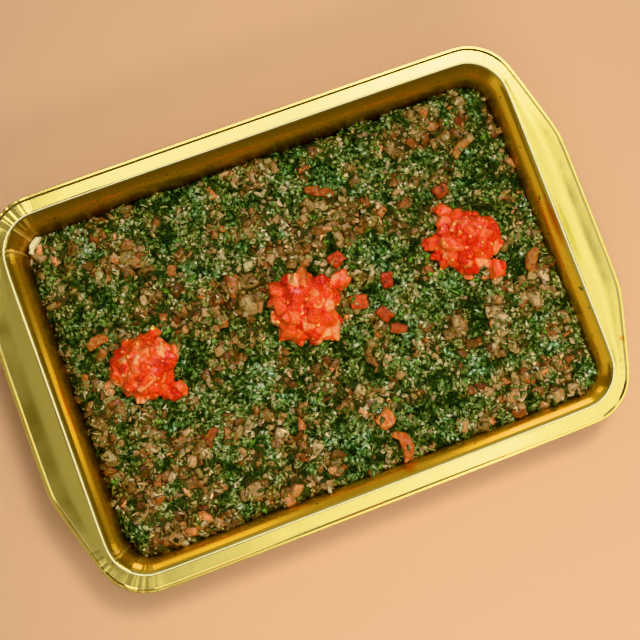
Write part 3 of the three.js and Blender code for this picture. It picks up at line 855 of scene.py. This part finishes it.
# Each kind: how many are tried, its half length, width and thickness in mm from least to most, how far it
# lies over the surface in mm, how strongly it tips over, the range of its tints and how far they follow
# patches, and the share that stays: on the whole, more where the mix is brown, more in tufts, and of those
# on a tomato bit. Hues, where given, don't follow the mix.
strewnKinds = [
    {"name": "parsleyDark", "shapes": leafShapes, "material": parsley, "count": 11500,
     "size": ((2.2, 4.0), (1.5, 2.8), (0.9, 1.5)), "lift": (-0.6, 0.4), "tip": 0.35, "tint": (0.0, 0.29),
     "patch": 0.15, "share": 0.8, "brown": -0.2, "tufts": 0.0, "onTomato": 0.08, "seed": 21},
    {"name": "parsleyMid", "shapes": leafShapes, "material": parsley, "count": 10500,
     "size": ((2.1, 3.9), (1.4, 2.7), (0.9, 1.5)), "lift": (-0.1, 0.9), "tip": 0.35, "tint": (0.26, 0.58),
     "patch": 0.24, "share": 0.66, "brown": -0.6, "tufts": 0.5, "onTomato": 0.28, "seed": 22},
    {"name": "parsleyBright", "shapes": leafShapes, "material": parsley, "count": 7600,
     "size": ((1.8, 3.5), (1.2, 2.4), (0.8, 1.4)), "lift": (0.2, 1.2), "tip": 0.35, "tint": (0.52, 0.92),
     "patch": 0.2, "share": 0.4, "brown": -0.55, "tufts": 1.0, "onTomato": 0.3, "seed": 23},
    {"name": "parsleyFresh", "shapes": leafShapes, "material": parsley, "count": 800,
     "size": ((2.2, 4.0), (1.5, 2.6), (0.7, 1.2)), "lift": (0.3, 1.2), "tip": 0.4, "tint": (0.28, 0.68),
     "patch": 0.1, "share": 0.4, "brown": -0.4, "tufts": 0.8, "onTomato": 0.3, "seed": 27,
     "hues": (0.0, 0.06)},
    {"name": "parsleyStems", "shapes": [stemShape], "material": parsleyStalk, "count": 1000,
     "size": ((1.4, 3.3), (0.7, 1.2), (0.7, 1.1)), "lift": (0.0, 1.0), "tip": 0.25, "tint": (0.0, 1.0),
     "patch": 0.0, "share": 0.7, "brown": 0.0, "tufts": 0.3, "onTomato": 0.4, "seed": 24},
    {"name": "bulgur", "shapes": grainShapes, "material": bulgur, "count": 5200,
     "size": ((0.8, 1.4), (0.5, 0.9), (0.5, 0.8)), "lift": (0.1, 1.1), "tip": 0.4, "tint": (0.0, 1.0),
     "patch": 0.2, "share": 0.5, "brown": 0.6, "tufts": 0.4, "onTomato": 0.45, "seed": 25},
    {"name": "onionBits", "shapes": cubeShapes, "material": choppedOnion, "count": 1300,
     "size": ((1.1, 2.3), (0.8, 1.6), (0.5, 0.9)), "lift": (-0.2, 0.7), "tip": 0.4, "tint": (0.0, 1.0),
     "patch": 0.2, "share": 0.45, "brown": 0.7, "tufts": 0.2, "onTomato": 0.3, "seed": 26},
]
strewnArea = (160 * mm, 112 * mm)  # half its length and width
cellSpread = (-0.3, 1.3)  # from where to where a bit may lie across its cell of the grid
onLoosePieces = 0.04  # the share that stays on the loose tomato pieces
tuftSize, patchSize = 5 * mm, 20 * mm
# The herbs' cast: its middle, how far it follows the brown of the mix and patches, its spread and least.
herbHue = {"middle": 0.53, "brown": 0.34, "patches": 0.10, "spread": 0.09, "least": 0.1}


def strewKind(kind):
    random = np.random.default_rng(kind["seed"])
    count = int(kind["count"] * few)
    # One spot in each cell of a jittered grid keeps the bed evenly covered.
    halfX, halfY = strewnArea
    columns = int(math.sqrt(count * halfX / halfY))
    rows = count // columns
    cellX, cellY = 2 * halfX / columns, 2 * halfY / rows
    gridX, gridY = np.meshgrid(np.arange(columns), np.arange(rows))
    x = (gridX.ravel() + random.uniform(*cellSpread, columns * rows)) * cellX - halfX
    y = (gridY.ravel() + random.uniform(*cellSpread, columns * rows)) * cellY - halfY
    clear = ~isUnderHeap(x, y)
    landed, places, normals, which = dropOn(saladSurfaces, x[clear], y[clear], landing["bed"])
    # The kinds keep together: some in the brown patches, some in the green, the pale herbs in small tufts.
    brown = brownness(places[:, 0], places[:, 1])
    tuft = patchNoise(places[:, 0], places[:, 1], tuftSize, 5)
    share = kind["share"] + kind["brown"] * brown + kind["tufts"] * tuft
    stays = np.choose(np.minimum(which, 2), [1, kind["onTomato"], onLoosePieces])
    kept = random.uniform(0, 1, len(landed)) < share * stays
    places, normals = places[kept], normals[kept]
    count = len(places)
    axes = normals + uprightness + random.normal(0, kind["tip"], (count, 3))
    lift = random.uniform(*kind["lift"], count) * mm
    x, y = places[:, 0], places[:, 1]
    tint = random.uniform(*kind["tint"], count)
    tint += kind["patch"] * (patchNoise(x, y, tuftSize, 5) + 0.5 * patchNoise(x, y, patchSize, 3))
    hue = herbHue["middle"] + herbHue["brown"] * brownness(x, y)
    hue += herbHue["patches"] * patchNoise(x, y, 7 * mm, 12) + random.normal(0, herbHue["spread"], count)
    hue = np.maximum(hue, herbHue["least"])
    if "hues" in kind:
        hue = random.uniform(*kind["hues"], count)
    layBits(kind["name"], kind["shapes"], kind["material"], random,
            place=places + normals * lift[:, None], turn=randomTurns(axes, random),
            size=np.stack([random.uniform(*limits, count) for limits in kind["size"]], axis=1) * mm,
            tint=tint, hue=np.clip(hue, 0, 1))


for kind in strewnKinds:
    strewKind(kind)


# Small bits that stick to the metal: two on the right lip, as x, y and half size in mm, and the others on the
# walls over the food. endWalls and sideWalls say how far the walls are from the middle, and alongEnds and
# alongSides how far from it the bits spread along them.
fleckLook = {
    "onLip": [(163.4, -44.6, 2.3), (163.5, -57.7, 1.6)], "count": 50, "halfSize": (0.5, 1.2), "seed": 31,
    "onEnds": 0.4, "endWalls": 157, "sideWalls": 107.5, "alongEnds": 90, "alongSides": 140,
    "proportions": (1, 0.6, 0.4), "tint": (0.05, 0.5), "hue": (0.2, 0.9),
}


def stickFlecks(look):
    random = np.random.default_rng(look["seed"])
    count = look["count"]
    along, depth = random.uniform(-1, 1, count), random.uniform(0, 5, count) ** 1.3
    onEnd, side = random.uniform(0, 1, count) < look["onEnds"], random.choice([-1, 1], count)
    x = np.where(onEnd, side * (look["endWalls"] + depth * 0.5), along * look["alongSides"])
    y = np.where(onEnd, along * look["alongEnds"], side * (look["sideWalls"] + depth * 0.5))
    half = random.uniform(*look["halfSize"], count)
    onLip = np.array(look["onLip"])
    x, y, half = (np.concatenate([own, others]) * mm for own, others in zip(onLip.T, (x, y, half)))
    landed, places, normals, _ = dropOn([traySurface], x, y, landing["wall"])
    count, half = len(landed), half[landed]
    layBits("parsleyFlecks", leafShapes, parsley, random, place=places + normals * 0.1 * mm,
            turn=randomTurns(normals, random), size=half[:, None] * look["proportions"],
            tint=random.uniform(*look["tint"], count), hue=random.uniform(*look["hue"], count))


stickFlecks(fleckLook)


# The heaps of diced tomato

heapTomatoLook = {
    "mottle": (1.5 * mm, 0.8), "relief": 0.15 * mm, "roughness": (0.36, 0.14),
    "juice": (0.3, 2.5 * mm), "film": 0.6,
    "colours": [(0.0, (0.60, 0.014, 0.002)), (0.3, (0.86, 0.070, 0.012)), (0.55, (0.95, 0.160, 0.040)),
                (0.8, (0.97, 0.290, 0.100)), (1.0, (0.98, 0.500, 0.240))],
    "casts": [(0.0, (1.0, 1.0, 1.0)), (1.0, (0.95, 1.6, 1.0))],
}
heapLook = {
    "voxel": 0.5 * mm, "rounding": 12, "shrink": 0.05 * mm, "footRise": 0.03,
    "dice": 84, "halfSize": (2.4, 5.4), "slim": (0.6, 0.95), "flat": (0.45, 0.75), "sunk": (0.6, 1.0),
    "tint": (0.44, 0.23), "palest": 0.14, "paleTint": (0.85, 1.0),  # the palest are the share of pale flesh
    "seeds": 26, "seedSize": (0.8, 1.3), "seedFinish": (0.9, 0.75, -1.3),  # tint, hue and how deep they sit
    "softening": 5, "relief": (1.3 * mm, 0.4 * mm),
    # The crease shade is a painted shade that darkens where two dice meet.
    "creaseWidth": 0.14, "creasePaintedShade": 0.4, "crispness": 9.0,
}
goldenAngle = math.pi * (3 - math.sqrt(5))
batchSize = 4000  # points of a heap that are shaded at a time
heapTomato = makeFoodMaterial("heapTomato", heapTomatoLook)

# Each heap: its seed, what its dice's tint is shifted by, a painted shade that darkens the heaps nearer the
# lamps, the round places left free of dice as x, y and radius, and single wedges as x, y, half length, width
# and thickness, heading in degrees and tint, in mm.
heapDetails = {
    "tomato_heap_left": {"seed": 51, "shade": 0.0, "bare": [], "wedges": [
        (-98, -19, 5.5, 4, 2.2, 20, 0.1), (-109, -8, 8, 3.4, 2.4, 25, 0.85)]},
    "tomato_heap_middle": {"seed": 52, "shade": -0.02, "bare": [(8, -10, 7)], "wedges": [
        (3, 23, 10, 3.6, 2.6, 28, 0.7), (-16, -10, 7, 4, 2.6, 120, 0.5), (-20, 10, 6.5, 4, 2.6, 80, 0.45)]},
    "tomato_heap_right": {"seed": 53, "shade": -0.07, "bare": [], "wedges": [
        (102, 30, 5, 4, 2.6, 10, 0.5), (122, -15, 5, 4, 2.4, 60, 0.6), (101, -12, 5, 3.6, 2.4, 150, 0.75),
        (86, 14, 5, 4, 2.6, 90, 0.5)]},
}


def heapDiceSpots(core, nodeName, look, detail):
    # Dice and then seeds in a spiral from the top down, and then the single wedges.
    random = np.random.default_rng(detail["seed"])
    surface = surfaceOf(core)
    low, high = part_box(nodeName)
    middle = Vector(((low.x + high.x) / 2, (low.y + high.y) / 2, low.z + 0.15 * (high.z - low.z)))
    rows = []  # place, normal, half size, yaw, tint, hue and how deep it sits, for each

    def isBare(place):
        return any(math.hypot(place.x / mm - x, place.y / mm - y) < reach for x, y, reach in detail["bare"])

    for number, sizes in ((look["dice"], look["halfSize"]), (look["seeds"], look["seedSize"])):
        for index in range(number):
            rise = 1 - (index + 0.5) / number * (1 - look["footRise"])
            level = math.sqrt(1 - rise * rise)
            angle = index * goldenAngle + random.normal(0, 0.2)
            outward = Vector((level * math.cos(angle), level * math.sin(angle), rise))
            place, normal, _, _ = surface.ray_cast(middle + outward * 0.06, -outward)
            half, yaw = random.uniform(*sizes), random.uniform(0, 2 * math.pi)
            isPale = random.uniform() < look["palest"]
            tint = random.uniform(*look["paleTint"]) if isPale else random.normal(*look["tint"])
            slim, flat, depth = (random.uniform(*look[name]) for name in ("slim", "flat", "sunk"))
            if place is None or isBare(place):
                continue
            normal = normal + Vector(random.normal(0, 0.2, 3))
            # Each heap's painted shade shifts its dice's tint.
            finish = (tint + detail["shade"], 0.0, depth) if number == look["dice"] else look["seedFinish"]
            rows.append((place, normal, (half, half * slim, half * flat), yaw, *finish))
    for x, y, length, width, thickness, heading, tint in detail["wedges"]:
        start = Vector((x * mm, y * mm, dropHeight))
        place, normal, _, _ = surface.ray_cast(start, downwards)
        if place is None:
            place, normal, _, _ = bedSurface.ray_cast(start, downwards)
        rows.append((place, normal, (length, width, thickness), math.radians(heading), tint, 0.0, 0.5))
    places, normals, sizes, yaws, tints, hues, depths = (np.array(column) for column in zip(*rows))
    sizes *= mm
    upright = normals / np.linalg.norm(normals, axis=1, keepdims=True)
    return {
        "place": places - upright * (depths * sizes[:, 2])[:, None],
        "turn": framesAlong(upright, headingsOf(yaws)),
        "size": sizes,
        "tint": np.clip(tints, 0.02, 0.98),
        "hue": hues,
        "kind": random.integers(0, len(chunkShapes), len(places)),
    }


def makeHeap(nodeName, look, detail):
    core = copyOfNode(nodeName, "tomatoHeap" + nodeName.split("_")[-1].capitalize())
    addFusing(core, 2 * look["voxel"], look["rounding"])
    addModifier(core, "DISPLACE", strength=look["shrink"], mid_level=0.0)
    applyModifiers(core)
    spots = heapDiceSpots(core, nodeName, look, detail)
    dice = joinCopies("dice", chunkShapes, spots)
    pick(core)
    dice.select_set(True)
    bpy.ops.object.join()
    # Wet dice run together into one soft mass, and each point then takes its shade from the nearest.
    addFusing(core, look["voxel"], look["softening"])
    addRelief(core, "heapRelief", *look["relief"])
    applyModifiers(core)
    bpy.ops.object.shade_smooth()
    for name in ("tint", "hue"):
        if name in core.data.attributes:
            core.data.attributes.remove(core.data.attributes[name])
    points = pointsOf(core)
    tint, hue = np.empty(len(points)), np.empty(len(points))
    for start in range(0, len(points), batchSize):
        batch = slice(start, start + batchSize)
        offset = points[batch, None, :] - spots["place"][None, :, :]
        own = np.einsum("pni,nij->pnj", offset, spots["turn"]) / spots["size"][None, :, :]
        reach = np.abs(own ** 4).sum(axis=2) ** 0.25
        first, second = np.partition(reach, 1, axis=1)[:, :2].T
        # Painted shade in the creases where two dice meet.
        crease = np.exp(-(second - first) / look["creaseWidth"])
        weights = np.exp((first[:, None] - reach) * look["crispness"])
        weights /= weights.sum(axis=1, keepdims=True)
        tint[batch] = weights @ spots["tint"] - look["creasePaintedShade"] * crease
        hue[batch] = weights @ spots["hue"]
    paintPoints(core, tint=np.clip(tint, 0.02, 0.98), hue=hue)
    finishPiece(core, heapTomato, nodeName)


for nodeName, detail in heapDetails.items():
    makeHeap(nodeName, heapLook, detail)


# Tomato pieces and the onion sliver that lie loose

looseTomatoLook = {
    "mottle": (2.6 * mm, 1.0), "relief": 0.15 * mm, "roughness": (0.45, 0.2),
    "juice": (0.15, 1.5 * mm), "film": 0.15,
    "colours": [(0.0, (0.24, 0.018, 0.003)), (0.3, (0.42, 0.048, 0.010)), (0.55, (0.54, 0.105, 0.020)),
                (0.8, (0.62, 0.200, 0.052)), (1.0, (0.74, 0.400, 0.170))],
    "casts": [(0.0, (1.15, 0.85, 0.8)), (0.4, (1.0, 1.0, 1.0)), (1.0, (0.75, 1.5, 1.5))],
}
onionSliverLook = {
    "mottle": (3 * mm, 0.3), "relief": 0.1 * mm, "roughness": (0.4, 0.2),
    "juice": (0.2, 2 * mm),
    "colours": [(0.0, (0.45, 0.33, 0.10)), (0.5, (0.72, 0.60, 0.27)), (1.0, (0.86, 0.78, 0.48))],
}
looseLook = {"voxel": 0.4 * mm, "rounding": 45, "relief": ((4 * mm, 2.6 * mm), (1.6 * mm, 0.6 * mm))}
# The shade of each, and its cast from red at 0 to brown at 1.
looseTints = {
    "tomato_dice_1": (0.34, 0.05), "tomato_dice_2": (0.53, 0.15), "tomato_dice_3": (0.27, 0.1),
    "tomato_dice_4": (0.34, 0.5), "tomato_dice_5": (0.36, 0.6), "tomato_dice_6": (0.76, 0.45),
    "tomato_dice_7": (0.3, 0.7), "tomato_strip_1": (0.6, 0.5), "tomato_strip_2": (0.42, 0.85),
    "tomato_strip_3": (0.62, 0.95), "tomato_strip_4": (0.6, 0.7), "tomato_strip_5": (0.32, 1.0),
    "tomato_strip_6": (0.5, 0.95), "onion_sliver": (0.8, 0.0),
}
looseTomato = makeFoodMaterial("looseTomato", looseTomatoLook)
onionFlesh = makeFoodMaterial("onionFlesh", onionSliverLook)


def makeLoosePiece(nodeName, look, tint, hue):
    piece = copyOfNode(nodeName, nodeName.replace("_", "-"))
    addFusing(piece, look["voxel"], look["rounding"])
    for size, height in look["relief"]:
        addRelief(piece, "cutRelief", size, height, 0.45)
    applyModifiers(piece)
    bpy.ops.object.shade_smooth()
    paintPoints(piece, tint=tint, hue=hue)
    if nodeName.startswith("onion"):
        finishPiece(piece, onionFlesh, nodeName)
    else:
        finishPiece(piece, looseTomato, nodeName)


for nodeName, (tint, hue) in looseTints.items():
    makeLoosePiece(nodeName, looseLook, tint, hue)


# Floor, light and camera

# Each lamp is a flat panel: where it faces, its middle, its size in metres and its brightness as radiance.
down, right, left, near = (0, 0, -1), (1, 0, 0), (-1, 0, 0), (0, -1, 0)
stageLook = {
    "floorSize": 6.0, "floorColour": (0.735, 0.457, 0.262), "floorRoughness": 0.8,
    "world": (0.125, 0.100, 0.074),
    # Lamps that light the food and the floor but don't show in what is glossy.
    "lamps": {
        "softbox": (down, (0.06, 0.15, 1.10), (0.77, 0.62), 2.65),
        "key": (down, (0.26, 0.26, 1.15), (0.24, 0.24), 27.5),
        "ceiling": (down, (0.45, -0.22, 1.60), (1.3, 1.4), 1.05),
        "foreFill": (down, (0.06, -0.54, 0.50), (0.6, 0.25), 6.0),
    },
    # Panels that only show in what is glossy: overhead, round a dark middle, and upright, round the tray.
    "reflectors": {
        "skyFar": (down, (0.47, 0.98, 3.0), (1.76, 0.54), 3.3),
        "skyFarRight": (down, (1.05, 0.88, 2.9), (0.80, 0.60), 4.2),
        "skyRight": (down, (1.35, -0.10, 3.0), (0.70, 1.20), 1.5),
        "skyNear": (down, (0.55, -0.48, 3.0), (1.30, 0.50), 1.6),
        "skyNearBright": (down, (0.60, -0.48, 2.95), (0.35, 0.5), 2.6),
        "skyNearLeft": (down, (-0.35, -0.48, 3.0), (0.50, 0.50), 0.8),
        "skyLeft": (down, (-0.85, 0.15, 3.0), (0.60, 1.6), 0.27),
        "leftNear": (right, (-0.80, -0.13, 0.72), (0.45, 1.35), 0.55),
        "leftUpper": (right, (-0.80, 0.0, 1.70), (0.70, 0.60), 0.35),
        "leftFar": (right, (-0.80, 0.30, 0.45), (0.55, 0.80), 0.45),
        "rightPanel": (left, (0.80, 0.06, 0.32), (0.22, 0.60), 1.1),
        "farLeft": (near, (-0.16, 0.75, 0.34), (0.18, 0.60), 1.3),
        "farMiddle": (near, (0.095, 0.75, 0.34), (0.33, 0.60), 0.2),
        "farRight": (near, (0.395, 0.75, 0.34), (0.27, 0.60), 2.6),
        "farUpper": (near, (0.15, 0.75, 0.95), (0.85, 0.62), 0.3),
    },
}
# The lens sees 32.5 degrees across, from 0.67 m over the rim, tipped 6.6 degrees and turned 20.5 degrees.
cameraLook = {
    "sensor": 36.0, "lens": 61.875,
    "place": (-0.0613942, -0.0524196, 0.7165902), "angles": (5.51000, -3.71027, -20.51627),
}


def makeFloor(look):
    bpy.ops.mesh.primitive_plane_add(size=look["floorSize"])
    floor = bpy.context.object
    floor.name = "floor"
    material, _, shader = newMaterial("paperFloor")
    setInputs(shader, Base_Color=look["floorColour"], Roughness=look["floorRoughness"])
    floor.data.materials.append(material)


def addLamp(name, facing, place, size, glow):
    light = bpy.data.lights.new(name, "AREA")
    light.shape = "RECTANGLE"
    light.size, light.size_y = size
    light.energy = glow * math.pi * light.size * light.size_y
    lamp = bpy.data.objects.new(name, light)
    scene.collection.objects.link(lamp)
    lamp.location = place
    lamp.rotation_euler = Vector(facing).to_track_quat("-Z", "Y").to_euler()
    lamp.visible_camera = False
    return lamp


def makeCamera(look):
    camera = bpy.data.cameras.new("camera")
    camera.sensor_width = look["sensor"]
    camera.lens = look["lens"]
    scene.camera = bpy.data.objects.new("camera", camera)
    scene.collection.objects.link(scene.camera)
    scene.camera.location = look["place"]
    scene.camera.rotation_euler = [math.radians(angle) for angle in look["angles"]]


bpy.ops.object.select_all(action="DESELECT")
makeFloor(stageLook)
for name, panel in stageLook["lamps"].items():
    addLamp(name, *panel).visible_glossy = False
for name, panel in stageLook["reflectors"].items():
    addLamp(name, *panel).visible_diffuse = False
makeCamera(cameraLook)
world = bpy.data.worlds.new("studio")
scene.world = world
world.use_nodes = True
setInputs(world.node_tree.nodes["Background"], Color=stageLook["world"])
scene.view_settings.view_transform = "Khronos PBR Neutral"
print("set the stage")
